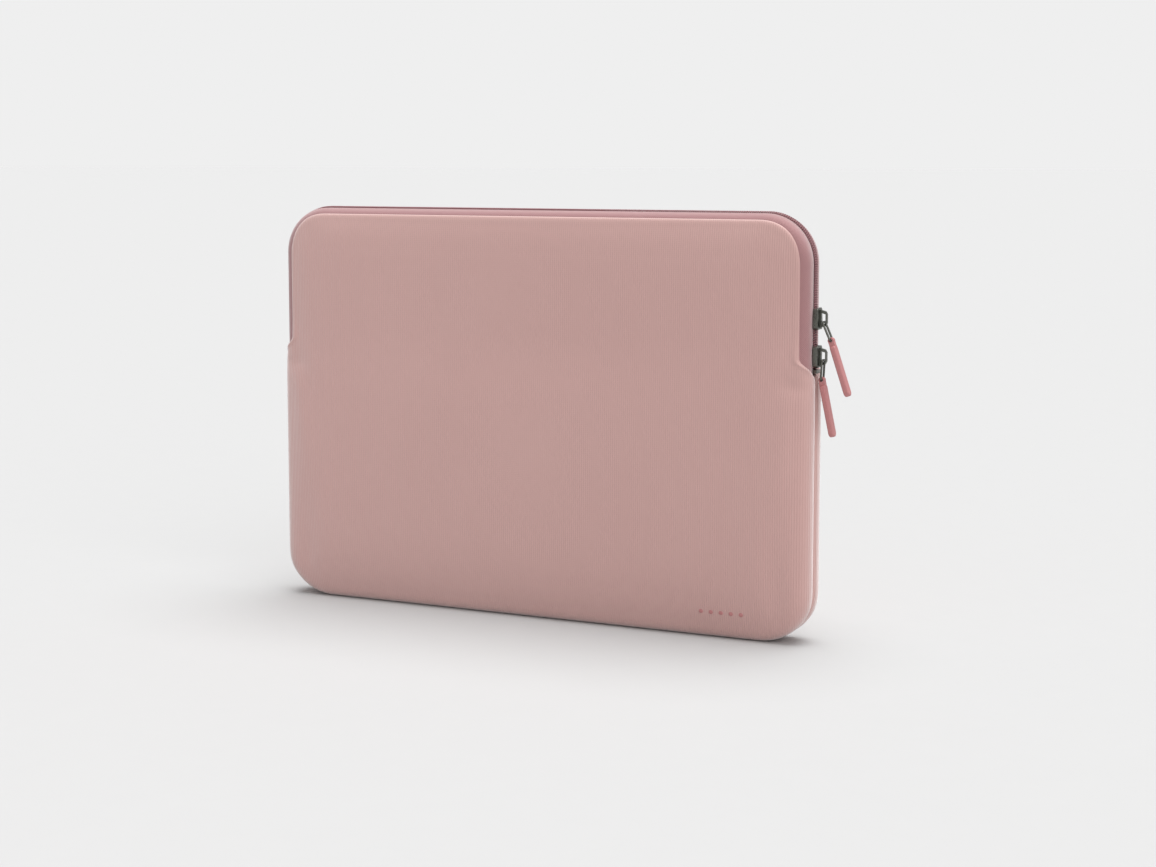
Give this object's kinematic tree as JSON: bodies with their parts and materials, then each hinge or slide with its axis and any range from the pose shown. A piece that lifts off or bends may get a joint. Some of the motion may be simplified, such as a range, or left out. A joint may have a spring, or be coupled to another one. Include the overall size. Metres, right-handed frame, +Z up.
{
  "type": "laptop sleeve",
  "caption": "Padded rectangular sleeve with rounded corners, opened by a zip round its upper half with two sliders on one side.",
  "frame": {"origin": "middle of the lower long edge, on the surface the sleeve stands on", "axes": "+X right along the width, -Y towards the front, +Z up to the zipped long edge"},
  "size_m": [0.3602, 0.024, 0.2412],
  "materials": {
    "knit": "matte",
    "foam": "matte",
    "lining": "matte",
    "zip_tape": "matte",
    "zip_coil": "satin",
    "binding": "matte",
    "zip_metal": "satin",
    "pull_rubber": "satin"
  },
  "bodies": {
    "pouch": {"back_shell": "knit", "back_foam": "foam", "back_lining": "lining", "front_shell": "knit", "front_foam": "foam", "front_lining": "lining", "zip_tape_back": "zip_tape", "zip_coil_back": "zip_coil", "zip_binding_back": "binding", "seam_binding": "binding", "zip_stop_left": "zip_metal", "zip_stop_right": "zip_metal"},
    "flap": {"flap_shell": "knit", "flap_foam": "foam", "flap_lining": "lining", "zip_tape_front": "zip_tape", "zip_coil_front": "zip_coil", "zip_binding_front": "binding"},
    "slider_a": {"slider_a_body": "zip_metal", "slider_a_bail": "zip_metal"},
    "link_a": {"slider_a_link": "zip_metal"},
    "grip_a": {"slider_a_grip": "pull_rubber"},
    "slider_b": {"slider_b_body": "zip_metal", "slider_b_bail": "zip_metal"},
    "link_b": {"slider_b_link": "zip_metal"},
    "grip_b": {"slider_b_grip": "pull_rubber"}
  },
  "joints": [
    {"name": "flap_open", "type": "hinge", "parent": "pouch", "child": "flap", "pos_m": [0, -0.012, 0.179], "axis": [0.9955, 0, 0.0943], "range_deg": [0, 60], "stiffness_Nm_per_rad": 0.02, "deforming": ["zip_tape_front", "zip_coil_front", "zip_binding_front"]},
    {"name": "slider_a_slide", "type": "slide", "parent": "pouch", "child": "slider_a", "axis": [0, 0, 1], "range_m": [0, 0.003]},
    {"name": "link_a_swing", "type": "hinge", "parent": "slider_a", "child": "link_a", "pos_m": [0.1736, 0, 0.1592], "axis": [0, -1, 0], "range_deg": [0, 20]},
    {"name": "grip_a_swing", "type": "hinge", "parent": "link_a", "child": "grip_a", "pos_m": [0.17302, 0, 0.14822], "axis": [0, -1, 0], "range_deg": [0, 30]},
    {"name": "slider_b_slide", "type": "slide", "parent": "pouch", "child": "slider_b", "axis": [0, 0, 1], "range_m": [-0.005, 0.022]},
    {"name": "link_b_swing", "type": "hinge", "parent": "slider_b", "child": "link_b", "pos_m": [0.1736, 0, 0.1802], "axis": [0, -1, 0], "range_deg": [0, 110]},
    {"name": "grip_b_swing", "type": "hinge", "parent": "link_b", "child": "grip_b", "pos_m": [0.17807, 0, 0.17015], "axis": [0, -1, 0], "range_deg": [0, 35]}
  ]
}
